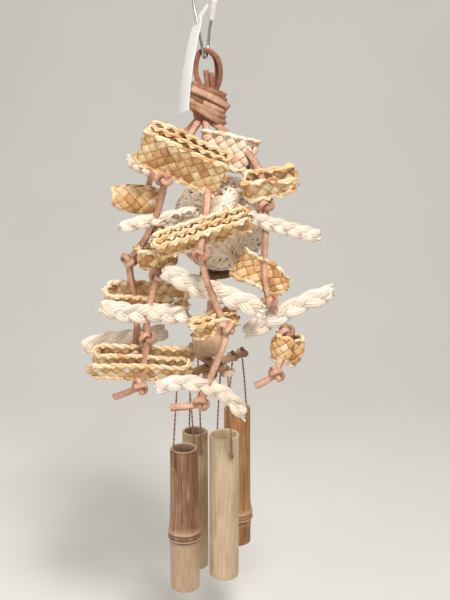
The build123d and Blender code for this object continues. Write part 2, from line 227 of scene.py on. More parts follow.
def leather_paint(name, dark, mid, light):
    paint = Paint(name, Specular_IOR_Level=0.3)
    spot = paint.place()
    clouds = paint.noise(spot, 0.09, 3)
    grain = paint.noise(spot, 2.6, 4, 0.7)
    pores = paint.noise(paint.leaf((0.5, 1.6, 1.0)), 1.0, 3)
    base = paint.ramp(clouds, [(0.3, dark), (0.5, mid), (0.72, light)])
    flesh = paint.ramp(pores, [(0.3, (0.66, 0.60, 0.56)), (0.66, (1, 1, 1))])
    base = paint.mix(0.75, base, flesh, "MULTIPLY")
    # darker towards the lace's cut edges; a tint of 0.95, as on the binding core, is painted shade
    edge = paint.ramp(paint.value("tint"), [(0.55, (1, 1, 1)), (0.95, (0.62, 0.50, 0.44))])
    paint.colour(paint.mix(0.8, base, edge, "MULTIPLY"))
    paint.rough(grain, 0.48, 0.75)
    paint.bump((grain, 0.14), (pores, 0.22))
    return paint.material


def bamboo_paint(name, light, mid, dark, stain=0.5, shift=0.0):
    """Raw bamboo: long fibres, dark stains, and pale fibrous wood where it is cut."""
    paint = Paint(name, Specular_IOR_Level=0.4)
    long_spot = paint.place((1, 1, 0.035))
    fibres = paint.noise(long_spot, 0.9, 4, 0.6)
    fine = paint.noise(paint.place((1, 1, 0.02)), 3.4, 3, 0.6)
    stains = paint.noise(paint.place((1, 1, 0.28)), 0.085, 4, 0.6)
    skin = paint.ramp(fibres, [(0.3, dark), (0.5, mid), (0.68, light)])
    blot = paint.ramp(stains, [(0.38 + shift, (0.48, 0.36, 0.27)), (0.58 + shift, (1, 1, 1))])
    skin = paint.mix(stain, skin, blot, "MULTIPLY")
    # wear_and_shade: real wear at the tube nodes and feet, and painted shade on the slats'
    # undersides
    wear_and_shade = paint.ramp(paint.value("tint"), [(0.0, (1, 1, 1)), (0.5, (0.42, 0.27, 0.17)),
                                            (1.0, (0.78, 0.60, 0.42))])
    skin = paint.mix(1.0, skin, wear_and_shade, "MULTIPLY")
    cut = paint.ramp(fine, [(0.3, (0.50, 0.33, 0.21)), (0.64, (0.80, 0.62, 0.43))])
    paint.colour(paint.mix(paint.value("cut"), skin, cut))
    paint.rough(fibres, 0.34, 0.6)
    paint.bump((fine, 0.10), (fibres, 0.16))
    return paint.material


def wood_paint(name, light, dark, scale=(0.5, 1.0, 0.12), size=0.7, depth=0.08):
    paint = Paint(name, Specular_IOR_Level=0.3)
    grain = paint.noise(paint.place(scale), size, 4, 0.6)
    pores = paint.noise(paint.place((1, 1, 0.15)), 3.0, 3)
    base = paint.ramp(grain, [(0.32, dark), (0.62, light)])
    specks = paint.ramp(pores, [(0.33, (0.70, 0.62, 0.55)), (0.47, (1, 1, 1))])
    paint.colour(paint.mix(0.5, base, specks, "MULTIPLY"))
    paint.rough(grain, 0.5, 0.72)
    paint.bump((pores, depth), (grain, depth))
    return paint.material


def twine_paint():
    paint = Paint("jute_twine", Specular_IOR_Level=0.15)
    fibre = paint.noise(paint.leaf((0.35, 2.2, 1.0)), 2.0, 4)
    paint.colour(paint.ramp(fibre, [(0.28, (0.17, 0.09, 0.045)), (0.5, (0.33, 0.19, 0.10)),
                                    (0.75, (0.56, 0.38, 0.22))]))
    paint.rough(fibre, 0.75, 0.95)
    paint.bump((fibre, 0.12))
    return paint.material


def wire_paint():
    paint = Paint("hook_wire", Metallic=1.0)
    drawn = paint.noise(paint.place((1.2, 1.2, 0.06)), 2.5, 3)
    paint.colour(paint.ramp(drawn, [(0.3, (0.36, 0.34, 0.31)), (0.7, (0.66, 0.64, 0.60))]))
    paint.rough(drawn, 0.22, 0.42)
    paint.bump((drawn, 0.03))
    return paint.material


def pale_paint(name, light, dark, size, roughness, depth):
    """White card or moulded plastic: faint mottling and a fine surface."""
    paint = Paint(name, Specular_IOR_Level=0.35)
    mottle = paint.noise(paint.place(), size, 4)
    paint.colour(paint.ramp(mottle, [(0.3, dark), (0.65, light)]))
    paint.rough(mottle, roughness - 0.08, roughness + 0.08)
    paint.bump((mottle, depth))
    return paint.material


def backdrop_paint():
    paint = Paint("backdrop", roughness=0.9)
    mottle = paint.noise(paint.place(), 0.004, 2)
    paint.colour(paint.ramp(mottle, [(0.3, (0.76, 0.745, 0.71)), (0.7, (0.79, 0.775, 0.74))]))
    return paint.material


# ---- mesh helpers ----------------------------------------------------------------------
class Shape:
    """Collects rings of points into one mesh with its leaf, tint and cut values."""

    def __init__(self):
        self.points = []
        self.faces = []
        self.leaf = []
        self.tint = []
        self.cut = []

    def loft(self, rings, tint=0.0, strand=0.0, closed=False, cut=None, step=1.0, tints=None,
             girth=6.0):
        """Joins rings of the same count into a skin; closed joins the last to the first."""
        first = len(self.points)
        count = len(rings[0])
        for row, ring in enumerate(rings):
            for column, point in enumerate(ring):
                self.points.append(point)
                self.leaf.append((row * step, girth * column / count, strand))
                self.tint.append(tints[row][column] if tints else tint)
                self.cut.append(cut[row] if cut else 0.0)
        rows = len(rings)
        for row in range(rows if closed else rows - 1):
            after = (row + 1) % rows
            for column in range(count):
                beside = (column + 1) % count
                self.faces.append((first + row * count + column, first + row * count + beside,
                                   first + after * count + beside,
                                   first + after * count + column))
        if not closed:
            self.faces.append(tuple(first + i for i in reversed(range(count))))
            self.faces.append(tuple(first + (rows - 1) * count + i for i in range(count)))

    def object(self, name, material, body, replaces=(), sharp=None):
        mesh = bpy.data.meshes.new(name)
        mesh.from_pydata(self.points, [], self.faces)
        mesh.polygons.foreach_set("use_smooth", [True] * len(mesh.polygons))
        layer = mesh.attributes.new("leaf", "FLOAT_VECTOR", "POINT")
        layer.data.foreach_set("vector", [v for leaf in self.leaf for v in leaf])
        for key, values in (("tint", self.tint), ("cut", self.cut)):
            layer = mesh.attributes.new(key, "FLOAT", "POINT")
            layer.data.foreach_set("value", values)
        if sharp:
            mesh.set_sharp_from_angle(angle=math.radians(sharp))
        mesh.materials.append(material)
        mesh.validate()
        mesh.update()
        piece = bpy.data.objects.new(name, mesh)
        bpy.context.collection.objects.link(piece)
        if body:
            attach(piece, body)
        if replaces:
            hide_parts(*replaces)
        return piece


def spline_points(route):
    """Points along the NURBS line that has a cord's route as its control points."""
    curve = bpy.data.curves.new("route", "CURVE")
    curve.dimensions = "3D"
    spline = curve.splines.new("NURBS")
    spline.points.add(len(route) - 1)
    for point, place in zip(spline.points, route):
        point.co = (place[0] * MM, place[1] * MM, place[2] * MM, 1)
    spline.order_u = 3
    spline.use_endpoint_u = True
    spline.resolution_u = 16
    holder = bpy.data.objects.new("route", curve)
    bpy.context.collection.objects.link(holder)
    bpy.context.view_layer.update()
    mesh = bpy.data.meshes.new_from_object(holder)
    points = [v.co.copy() for v in mesh.vertices]
    bpy.data.objects.remove(holder)
    bpy.data.curves.remove(curve)
    bpy.data.meshes.remove(mesh)
    return points


def even(points, step):
    """The same line with points a fixed step apart."""
    lengths = [0.0]
    for before, after in zip(points, points[1:]):
        lengths.append(lengths[-1] + (after - before).length)
    count = max(2, round(lengths[-1] / step))
    result = []
    place = 0
    for index in range(count + 1):
        target = lengths[-1] * index / count
        while place < len(lengths) - 2 and lengths[place + 1] < target:
            place += 1
        span = lengths[place + 1] - lengths[place]
        share = (target - lengths[place]) / span if span else 0.0
        result.append(points[place].lerp(points[place + 1], share))
    return result, lengths[-1]


def frames(points, side):
    """A side and a face direction at each point, carried along without spin."""
    result = []
    for index, point in enumerate(points):
        before = points[max(index - 1, 0)]
        after = points[min(index + 1, len(points) - 1)]
        ahead = (after - before).normalized()
        side = (side - ahead * side.dot(ahead)).normalized()
        result.append((side, ahead.cross(side)))
    return result


def circle(count, shift=0.0):
    """Cosines and sines of angles spread evenly round a circle."""
    for index in range(count):
        angle = 2 * math.pi * (index + shift) / count
        yield math.cos(angle), math.sin(angle)


def squared(value, power):
    """A cosine or sine pushed towards 1, which turns a circle into a rounded box."""
    return math.copysign(abs(value) ** power, value)


def outline(width, thick, count, power=0.5):
    """Points of a rounded box, given in millimetres and returned in metres."""
    return [(width / 2 * squared(c, power) * MM, thick / 2 * squared(s, power) * MM)
            for c, s in circle(count, 0.5)]


def sweep(shape, points, side, section, twist=None, strand=0.0, tint=0.0, edge=False,
          step=1.0):
    """Skins section(row), an outline, along points; edge makes the tint grow outwards."""
    rings = []
    tints = []
    for row, (point, (across, face)) in enumerate(zip(points, frames(points, side))):
        if twist:
            angle = twist(row)
            across, face = (across * math.cos(angle) + face * math.sin(angle),
                            face * math.cos(angle) - across * math.sin(angle))
        ring = section(row)
        rings.append([point + across * a + face * b for a, b in ring])
        reach = max(abs(a) for a, b in ring)
        tints.append([abs(a) / reach if edge else tint for a, b in ring])
    shape.loft(rings, strand=strand, step=step, tints=tints)


def any_way(rng, rise=1.0):
    """A random direction, flatter when rise is small."""
    return Vector((rng.gauss(0, 1), rng.gauss(0, 1), rng.gauss(0, rise))).normalized()


def chance(rng, middle, spread, most=1.0):
    """A random share between 0 and most."""
    return min(most, max(0.0, rng.gauss(middle, spread)))


def wander(seed, spot, size):
    """A smooth random offset that depends on the place."""
    return noise.noise_vector(Vector(spot) * (1 / size) + Vector((seed * 7.3, seed * 3.1, 0)))


# ---- leather ---------------------------------------------------------------------------
LACE_WIDTH = 5.2
LACE_THICK = 3.5
LACE_STEP = 1.5 * MM
KNOT_REACH = 5.3
KNOT_WIDTH = 4.5
KNOT_THICK = 3.0
TREFOIL_REACH = 2.7        # of the plain trefoil curve, which is scaled to the knot

LACES = {
    "lace_front_left": {
        "route": [(-4, -5, -120.6), (-12, -15, -132), (-21, -25, -146), (-27, -40, -154),
                  (-30, -51, -166), (-34, -44, -184), (-41, -36, -199), (-46, -31, -211),
                  (-54, -25, -221), (-60, -23, -229), (-60, -22, -240), (-57, -22, -254),
                  (-55.5, -21.5, -269), (-55, -22, -284), (-56, -23, -297),
                  (-55.5, -34.5, -307)],
        "knots": [(-29.5, -52.5, -161), (-60, -23, -229), (-55.5, -35.2, -307.2)],
        "bodies": ("hanger", "left_strand"), "break": -212},
    "lace_back_left": {
        "route": [(-6, 4, -120.6), (-19, 10, -134), (-33, 13, -149), (-42, 10, -162),
                  (-46, -1, -173), (-43, -12, -186), (-39, -21, -199), (-37, -28, -211),
                  (-35.5, -32, -224), (-36.5, -37, -237), (-40, -41, -250),
                  (-44, -42, -264), (-46, -40, -278), (-46, -39, -290), (-47, -43, -303),
                  (-48, -55, -314), (-50, -62, -322), (-60, -63, -327), (-71, -62, -331)],
        "knots": [(-36.5, -25.5, -203), (-36.6, -37.5, -238.3), (-46, -39.5, -288),
                  (-50, -62.5, -322)],
        "bodies": ("hanger", "left_strand"), "break": -212},
    "lace_front": {
        "route": [(1, -8, -120.6), (3, -18, -133), (5, -26, -147), (4.5, -33, -160),
                  (3.5, -42, -173), (2.9, -50, -185), (1, -56, -197), (-1, -63, -207),
                  (-1, -67, -217), (1, -68, -229), (4, -66, -240), (8, -58, -252),
                  (12.5, -57, -264), (18, -65, -273), (16.5, -69, -285), (11, -69, -298),
                  (6, -68, -311), (1.5, -67, -323), (-2, -67, -334), (-12, -68, -337),
                  (-26, -68, -337.5)],
        "knots": [(-1, -67.5, -216), (18, -65.5, -274), (-2, -67, -333.5)],
        "bodies": ("hanger", "front_strand"), "break": -185},
    "lace_right": {
        "route": [(6, -4, -120.6), (17, -10, -128), (31, -19, -139), (42, -30, -152),
                  (47, -37, -166), (48, -38, -178), (48, -37.4, -188), (48.3, -38, -201),
                  (48, -37.5, -216), (47, -38, -231), (48.5, -41, -245), (51, -45, -256),
                  (57, -41, -266), (63, -38, -275), (66, -36.5, -288), (64, -38.5, -299),
                  (60, -46, -308), (57, -53, -315), (49, -53, -321), (41, -52, -325)],
        "knots": [(48, -38, -181.8), (51.5, -46.5, -257), (65.6, -37, -284.4),
                  (57.5, -53, -314.5)],
        "bodies": ("hanger", "right_strand"), "break": -188},
    "lace_core": {
        "route": [(0, 1, -120.6), (4, 6, -134), (8, 7.5, -150), (11, 6, -168),
                  (12.5, 5, -190), (12, 4.5, -215), (10, 3.6, -237), (6.2, 2, -255),
                  (4.6, 1, -271), (3.4, 0.3, -287), (3, 0, -303), (3.1, 0.1, -320),
                  (2.9, 0, -336)],
        "knots": [(3, 0, -332)],
        "bodies": ("hanger", "bead_drop"), "break": -255},
}


def lace_section(width, thick, phase):
    """Outline of a cut lace whose width wavers a little along it."""
    def section(row):
        grow = 1 + 0.05 * math.sin(row * 0.35 + phase) + 0.03 * math.sin(row * 1.3 + 2 * phase)
        return [(a * grow, b) for a, b in outline(width, thick, 14, 0.42)]
    return section


def knot_line(centre, ahead, reach, turn):
    """A pulled-tight overhand knot: a trefoil round the lace."""
    side = ahead.orthogonal().normalized()
    face = ahead.cross(side)
    points = []
    for index in range(72):
        t = 2 * math.pi * index / 72
        a = math.sin(t) + 2 * math.sin(2 * t)
        b = math.cos(t) - 2 * math.cos(2 * t)
        spun = (a * math.cos(turn) - b * math.sin(turn), a * math.sin(turn) + b * math.cos(turn))
        points.append(centre + (side * spun[0] + face * spun[1]) * (reach / TREFOIL_REACH * MM)
                      - ahead * (math.sin(3 * t) * reach * 0.52 * MM))
    return points


def tie_knot(name, centre, line, material, body, rng):
    centre = Vector(centre) * MM
    nearest = min(range(1, len(line) - 1), key=lambda i: (line[i] - centre).length)
    ahead = (line[nearest + 1] - line[nearest - 1]).normalized()
    shape = Shape()
    loop = knot_line(centre, ahead, KNOT_REACH, rng.uniform(0, 2))
    section = outline(KNOT_WIDTH, KNOT_THICK, 12)
    rings = []
    for index, point in enumerate(loop):
        run = (loop[(index + 1) % len(loop)] - loop[index - 1]).normalized()
        out = point - centre
        out = (out - run * out.dot(run)).normalized()
        across = run.cross(out)
        rings.append([point + across * a + out * b for a, b in section])
    tints = [[abs(a) / (KNOT_WIDTH / 2 * MM) for a, b in section]] * len(loop)
    shape.loft(rings, closed=True, step=0.7, tints=tints, strand=rng.random() * 9)
    return shape.object(name, material, body)


def make_laces(material):
    for number, (name, spec) in enumerate(LACES.items()):
        rng = random.Random(40 + number)
        line, length = even(spline_points(spec["route"]), LACE_STEP)
        shape = Shape()
        phase = rng.uniform(0, 6)
        sweep(shape, line, Vector((1, 0, 0.01)), lace_section(LACE_WIDTH, LACE_THICK, phase),
              twist=lambda row, p=phase: 0.55 * math.sin(row * 0.055 + p), edge=True,
              strand=number * 3.7, step=LACE_STEP / MM)
        upper, lower = spec["bodies"]
        piece = shape.object(name, material, None,
                             (f"{name}_upper", f"{name}_lower"))
        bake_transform(piece)
        for index, centre in enumerate(spec["knots"]):
            body = upper if centre[2] > spec["break"] else lower
            knot = f"{name}_knot_{index + 1}"
            tie_knot(knot, centre, line, material, body, rng)


LOOP_ROUTE = [(1.5, 0, -113), (-1, 0, -98), (-6, 0, -84), (-5.4, 0, -73),
              (-2.3, 0, -66.6), (4.5, 0, -66.4), (10.5, 0, -73), (11.6, 0, -86),
              (7.5, 0, -99), (5, 0, -113)]
LOOP_HALF_GAP = 2.35
LOOP_SPREAD = (0, 0, 0, 0, 0, 0.2, 1.0, 1.4, 1.2, 0.6)   # sideways, at each route point
STRAP_STEP = 1.2 * MM


def smooth_route(route):
    """A Catmull-Rom line through a route that is not a cord."""
    points = [Vector(p) * MM for p in route]
    result = []
    for index in range(len(points) - 1):
        a = points[max(index - 1, 0)]
        b, c = points[index], points[index + 1]
        d = points[min(index + 2, len(points) - 1)]
        for part in range(12):
            t = part / 12
            result.append(0.5 * ((2 * b) + (c - a) * t + (2 * a - 5 * b + 4 * c - d) * t * t
                                 + (3 * b - a - 3 * c + d) * t ** 3))
    result.append(points[-1])
    return result


def make_loop(material):
    """Two straps side by side, and the two cut ends that stand up inside them."""
    shape = Shape()
    for side in (-1, 1):
        route = [(x - side * spread, y + side * LOOP_HALF_GAP, z)
                 for (x, y, z), spread in zip(LOOP_ROUTE, LOOP_SPREAD)]
        line, _ = even(smooth_route(route), STRAP_STEP)
        sweep(shape, line, BACK, lace_section(4.6, 3.9, side),
              twist=lambda row, s=side: s * 0.15 * math.sin(row * 0.1), edge=True,
              strand=side * 5.0)
    for shift, top in ((-1.9, -80.6), (2.3, -82.4)):
        route = [Vector((x + shift, -1, z)) * MM for x, z in ((6.4, -112), (5.3, -98), (3.4, top))]
        stub, _ = even(route, STRAP_STEP)
        sweep(shape, stub, RIGHT, lace_section(4.2, 3.2, shift), edge=True, strand=shift)
    shape.object("hanging_loop_straps", material, "hanger", ("hanging_loop",))


BINDING_CENTRE = Vector((2.2, 0, -105.0))
BINDING_TURNS = 6
BINDING_HEIGHT = 22.0
NECK_WIDTH = 13.2          # half of it, as for the depth
NECK_DEPTH = 11.2
PALE_FROM = 0.52           # share of the winding after which it shows its flesh side
POINTS_A_TURN = 48


def binding_line():
    """The wound lace: its turns sag towards the right and lean more as they go down."""
    line = []
    for index in range(BINDING_TURNS * POINTS_A_TURN):
        turns = index / POINTS_A_TURN
        angle = 2 * math.pi * turns - 2.4
        share = turns / BINDING_TURNS
        swell = 1 + 0.09 * math.sin(math.pi * share * 1.1) + 0.03 * math.sin(5.1 * turns)
        x = NECK_WIDTH * swell * math.cos(angle)
        y = NECK_DEPTH * swell * math.sin(angle)
        slope = 0.34 + 0.17 * share + 0.05 * math.sin(7.3 * turns)
        sag = 1.8 * share * math.sin(angle - 0.6)
        z = BINDING_HEIGHT / 2 - BINDING_HEIGHT * share - slope * x + sag
        line.append((BINDING_CENTRE + Vector((x, y, z))) * MM)
    return line


def binding_core():
    """The bunched laces inside the turns, as one body; make_binding darkens it as painted shade.
    """
    rings = []
    for row in range(10):
        share = row / 9
        radius = 10.3 + 1.2 * math.sin(math.pi * share) - 1.6 * max(0, share - 0.7)
        tilt = 0.3 * (1 - share) + 0.05
        rings.append([(BINDING_CENTRE + Vector((radius * c, radius * 0.86 * s,
                                                9.0 - 25.5 * share - tilt * radius * c))) * MM
                      for c, s in circle(28)])
    return rings


def make_binding(material, lower_material):
    """Turns of lace wound round the neck; the lower ones show the paler flesh side."""
    line = binding_line()
    lower = int(len(line) * PALE_FROM)
    shape = Shape()
    sweep(shape, line[:lower + 1], UP, lace_section(4.3, 3.3, 0.4), edge=True, strand=1.0)
    # tint 0.95 is painted shade: it darkens the bunched laces inside the turns
    shape.loft(binding_core(), tint=0.95)
    shape.object("binding_turns", material, "hanger", ("binding",))
    shape = Shape()
    sweep(shape, line[lower:], UP, lace_section(4.3, 3.4, 0.9), edge=True, strand=1.0)
    over = ((-9, -11.5, -94.5), (1, -14.8, -98.5), (11, -12.5, -103.5), (18.3, -6, -108.5),
            (18.5, 2, -110))
    end, _ = even([Vector(p) * MM for p in over], STRAP_STEP)
    sweep(shape, end, UP, lace_section(5.2, 3.0, 2.2), edge=True, strand=6.0)
    shape.object("binding_lower_turns", lower_material, "hanger")


# ---- woven leaf ------------------------------------------------------------------------
WEAVE_WALL = 2.2
WOVEN = {                  # kind, centre, along, up, length, depth, width
    "weave_top_front": ("fold", (-15, -38, -146), (59, 0, -26), (0, -0.5, 1), 66, 20, 28),
    "weave_left_tube": ("loop", (-54, -11, -181), (0, -1, -0.1), (1, 0, -0.08), 25, 22, 36),
    "weave_top_back": ("loop", (19, -19, -144), (47, 0, -9), (0, 0.1, 1), 46, 9, 26),
    "weave_right_top": ("vee", (51, -37, -166), (1, 0, 0.12), (0, -0.5, 1), 40, 17, 16),
    "weave_front_long": ("fold", (-1, -55, -200), (70, 0, 22), (0, -0.9, 1), 74, 15, 13),
    "weave_left_small": ("loop", (-37.5, -33, -225), (1, 0, -0.12), (0, -0.2, 1), 33, 16, 13),
    "weave_left_loop": ("loop", (-47, -22, -259), (1, 0, -0.05), (0, -0.45, 1), 68, 22, 12),
    "weave_right_mid": ("vee", (46.5, -34, -238.5), (40, 0, -22), (0, 0.1, 1), 43, 13, 21),
    "weave_right_low": ("loop", (67, -37.3, -298.5), (1, 0, -0.2), (0, -0.15, 1), 28, 20, 21),
    "weave_front_low": ("fold", (8, -54, -272.5), (1, 0, 0.28), (0, -0.5, 1), 34, 14, 12),
    "weave_left_fold": ("fold", (-50, -41.5, -309), (1, 0, -0.04), (0, 0.4, -1), 78, 27, 12),
}
CELL_DIAGONAL = 9.2        # between the scallops on a woven edge
PALE_WEAVE = ("weave_top_back",)
CRUSHED = {                # crease depth, and how much the strip or tube narrows at its ends
    "weave_left_tube": (2.0, 0.42, 0.2),
    "weave_right_top": (2.1, 0.15, 0.55),
    "weave_left_small": (2.0, 0.25, 0.0),
    "weave_right_mid": (1.9, 0.45, 0.25),
    "weave_right_low": (2.2, 0.3, 0.25),
    "weave_front_low": (1.8, 0.35, 0.35),
}


def arc(cx, cy, radius, start, end, count=10):
    angles = [start + (end - start) * i / count for i in range(count + 1)]
    return [Vector((cx + radius * math.cos(a), cy + radius * math.sin(a))) for a in angles]


def plan_line(kind, length, depth):
    """The bent strip seen along its width: a closed loop, a vee or three plies."""
    end, side = length / 2, depth / 2
    if kind == "loop":
        radius = side - WEAVE_WALL / 2
        straight = end - side
        return (arc(straight, 0, radius, -math.pi / 2, math.pi / 2)
                + arc(-straight, 0, radius, math.pi / 2, 3 * math.pi / 2)
                + [Vector((straight, -radius))])
    if kind == "vee":
        radius = side - 1
        return ([Vector((end, radius))]
                + arc(-end + radius, 0, radius, math.pi / 2, 3 * math.pi / 2)
                + [Vector((end, -side / 2))])
    radius = (side - 1) / 2
    top = [Vector((-end, 2 * radius))]
    right = arc(end - radius, radius, radius, math.pi / 2, -math.pi / 2)
    left = arc(-end + radius, -radius, radius, math.pi / 2, 3 * math.pi / 2)
    return top + right + left + [Vector((end, -2 * radius))]


class Band:
    """Maps a place on a flat woven strip to its bent and crumpled place in space."""

    def __init__(self, seed, crush, kind, centre, along, up, length, depth, width):
        self.seed, self.crush, self.kind, self.width = seed, crush, kind, width
        self.centre = Vector(centre)
        self.along = Vector(along).normalized()
        up = Vector(up)
        self.up = (up - self.along * up.dot(self.along)).normalized()
        self.side = self.up.cross(self.along)
        self.line, self.length = even([p.to_3d() for p in plan_line(kind, length, depth)], 0.8)

    def place(self, u, v, height):
        share = min(max(u / self.length, 0), 1)
        spot = share * (len(self.line) - 1)
        low = min(int(spot), len(self.line) - 2)
        at = self.line[low].lerp(self.line[low + 1], spot - low)
        before = self.line[max(low - 1, 0)]
        after = self.line[min(low + 2, len(self.line) - 1)]
        ahead = (after - before).normalized()
        flat = at + Vector((ahead.y, -ahead.x, 0)) * height
        crease, first, last = self.crush
        if self.kind == "loop":
            far = 2 * v / self.width
            flat = flat * (1 - (first if far < 0 else last) * abs(far) ** 2.5)
            narrow = 1.0
        else:
            narrow = (1 - first * max(0, 1 - share * 4) ** 1.5
                      - last * max(0, share * 4 - 3) ** 1.5)
        point = self.centre + self.along * flat.x + self.side * flat.y + self.up * (v * narrow)
        bent = wander(self.seed, point, 26) * 1.5 + wander(self.seed, point, 9) * 0.45
        return point + bent + wander(self.seed + 40, point, 15) * crease


def leaf_patch(shape, band, centre, direction, size, sign, rng, tint):
    """One visible crossing of a strip: arched over its neighbours and tucked at its ends."""
    along = Vector(direction)
    across = Vector((-along.y, along.x))
    rows, columns = 7, 5
    half_leaf = 0.16       # half the leaf's thickness
    reach = size * 0.66
    half_width = size * 0.47 * rng.uniform(0.90, 1.0)
    lift = 0.72 * rng.uniform(0.85, 1.15)
    limit = band.width / 2
    skins = []
    for offset in (half_leaf, -half_leaf):
        skin = []
        for row in range(rows):
            p = 2 * row / (rows - 1) - 1
            line = []
            for column in range(columns):
                q = 2 * column / (columns - 1) - 1
                flat = centre + along * (p * reach) + across * (q * half_width)
                arch = lift * math.cos(p * math.pi * 0.60) + 0.16 * (1 - q * q)
                arch -= 0.9 * max(0, abs(flat.y) - limit)
                v = max(-limit, min(limit, flat.y))
                line.append(band.place(flat.x, v, sign * arch + offset) * MM)
            skin.append(line)
        skins.append(skin)
    rings = [front + back[::-1] for front, back in zip(*skins)]
    # painted shade: the tint is raised, so the colour darker, at the strip's two long edges, where
    # it meets its neighbours
    edge_shade = 0.06          # at the strip's two long edges
    ring_tints = [tint + edge_shade * (column % columns in (0, columns - 1))
                  for column in range(2 * columns)]
    shape.loft(rings, strand=rng.random() * 40, step=2 * reach / rows,
               tints=[ring_tints] * rows, girth=size * 2)


def edge_roll(shape, band, u, v, pitch, rng, tint):
    """The fold of a strip round the edge of the weave: a slanted, pinched bump."""
    sign = 1 if v > 0 else -1
    puff = rng.uniform(0.7, 1.15)
    u += rng.uniform(-0.6, 0.6)
    lean = rng.uniform(0.9, 1.5)
    rows = 10
    sunk = 0.9             # how deep the fold's ends lie in the weave
    line = []
    for index in range(rows):
        t = index / (rows - 1)
        out = 1.4 * puff * math.sin(math.pi * t ** 0.8) - sunk
        line.append(band.place(u + (t - 0.5) * pitch * 1.45, v + sign * out,
                               lean * math.cos(math.pi * t)) * MM)

    def section(row):
        t = (row + 0.5) / rows
        swell = 0.22 + 0.85 * math.sin(math.pi * t ** 0.8)
        return outline(3.5 * swell, 2.5 * puff * swell, 10, 0.6)
    sweep(shape, line, band.up, section, strand=rng.random() * 40, tint=tint,
          step=pitch / (rows - 1))


def make_weave(name, number, spec, material, body):
    rng = random.Random(900 + number)
    band = Band(number, CRUSHED.get(name, (0.0, 0.0, 0.0)), *spec)
    halves = max(2, round(band.width / (CELL_DIAGONAL / 2)))
    half = band.width / halves
    size = half * math.sqrt(2)
    columns = int(band.length / half)
    stretch = band.length / (columns * half)
    loop = band.kind == "loop"
    shape = Shape()
    for column in range(columns + (0 if loop else 1)):
        for row in range(halves + 1):
            if (column + row) % 2:
                continue
            centre = Vector((column * half * stretch, row * half - band.width / 2))
            slant = 1 if column % 2 else -1
            for sign in (1, -1):
                direction = (math.sqrt(0.5), math.sqrt(0.5) * slant * sign)
                # inside is painted shade: it raises the tint of the inside layer of patches, so
                # the colour is darker where shade falls within the weave
                inside = 0.16 if sign > 0 else 0.0
                tint = min(1.0, max(0.0, rng.gauss(0.46, 0.2)) + inside)
                leaf_patch(shape, band, centre, direction, size, sign, rng, tint)
    pitch = 2 * half * stretch
    for index in range(int(band.length / pitch)):
        for v in (-band.width / 2, band.width / 2):
            tint = chance(rng, 0.30, 0.20, 0.9)
            edge_roll(shape, band, (index + 0.5) * pitch, v, pitch, rng, tint)
    for end in (() if loop else (0.0, band.length)):
        fray(shape, band, end, rng)
    shape.object(name + "_strips", material, body, (name,))


def leaf_strip(width, taper, thick=0.5):
    """Outline of a loose strip of leaf that narrows along its run."""
    return lambda row: outline(width * (1 - taper * row), thick, 8, 0.6)


def fray(shape, band, u, rng):
    """Loose strip ends where a woven strip was cut across."""
    outward = 1 if u > 0 else -1
    tucked = 5             # how far back each strip starts
    inner = u - outward * tucked
    for index in range(5):
        v = (rng.random() - 0.5) * band.width * 0.86
        reach = rng.uniform(2.5, 6.5)
        lean = rng.uniform(-0.7, 0.7)
        start = band.place(inner, v, 0.2)
        ahead = (band.place(inner + outward * 2, v, 0.2) - start).normalized()
        line = []
        for t in LEAF_STEPS:
            drift = band.up * (lean * reach * t * t) + wander(index, start, 5) * (1.2 * t * t)
            run = tucked * min(1, t * 2) + reach * max(0, t - 0.3)
            line.append((start + ahead * run + drift) * MM)
        width = rng.uniform(2.0, 4.2)
        sweep(shape, line, band.up, leaf_strip(width, 0.09), strand=rng.random() * 40,
              tint=rng.uniform(0.3, 0.9), step=2.0)


# ---- braids ----------------------------------------------------------------------------
BRAIDS = {                 # width and centre line
    "braid_left_back": (13, [(-61, 11, -153), (-46, 12, -160), (-30, 11, -169)]),
    "braid_left_top": (11, [(-64, -39, -200), (-49, -40, -195.5), (-28, -38.5, -192),
                            (-6, -38, -187)]),
    "braid_right_top": (12.5, [(29, -39.5, -188), (44, -39, -194), (66, -37, -201),
                               (90, -36, -207)]),
    "braid_left_mid": (17, [(-81, -41, -264), (-60, -41.5, -267.5), (-38, -41, -268),
                            (-13, -40.5, -269)]),
    "braid_front_mid": (17, [(-30, -50, -231), (-10, -53, -241), (15, -56, -249),
                             (44, -58.5, -260)]),
    "braid_right_long": (16, [(34, -38, -285), (55, -39, -273), (78, -38, -261),
                              (101, -37, -252)]),
    "braid_front_low": (13.5, [(-37, -66, -322), (-16, -67, -317), (4, -67, -321),
                               (19, -67, -329), (31, -67, -343)]),
    "braid_left_low": (17, [(-100, -11, -306), (-80, -11, -300), (-57, -12, -297),
                            (-33, -11, -292)]),
}
BRAID_THICK = 8.0
BRAID_STEP = 0.8
BUNDLE_SHARE = 0.52        # of the braid's width and thickness, for each of its bundles
BRAID_LAY = {              # length of one full plait against the braid's width
    "braid_left_top": 3.3, "braid_right_top": 2.7, "braid_front_mid": 2.5,
    "braid_right_long": 3.2, "braid_front_low": 3.1, "braid_left_low": 2.6,
}
LEAVES_ROUND = 10
LEAF_CURLS = {             # centre and radius
    "braid_left_top": (((-21, -42.5, -190.5), 4.6), ((-11, -42, -187.5), 3.9)),
    "braid_right_top": (((36, -43, -190), 3.6),),
}


def bundle_ring(point, up, face, width, thick, turn, row, number):
    """One section of a bundle of folded leaves, and how deep each point lies in a crease."""
    count = LEAVES_ROUND * 4
    ring = []
    shade = []
    for column, (c, s) in enumerate(circle(count)):
        angle = 2 * math.pi * column / count
        ridge = abs(math.sin(LEAVES_ROUND * angle / 2 + turn + 0.035 * row)) ** 0.7
        reach = 0.80 + 0.20 * ridge
        reach *= 1 + 0.05 * noise.noise(Vector((row * 0.05, column * 0.6, number)))
        ring.append(point + up * (width / 2 * squared(c, 0.85) * reach * MM)
                    + face * (thick / 2 * s * reach * MM))
        shade.append(0.06 + 0.85 * (1 - ridge) ** 1.4)
    return ring, shade


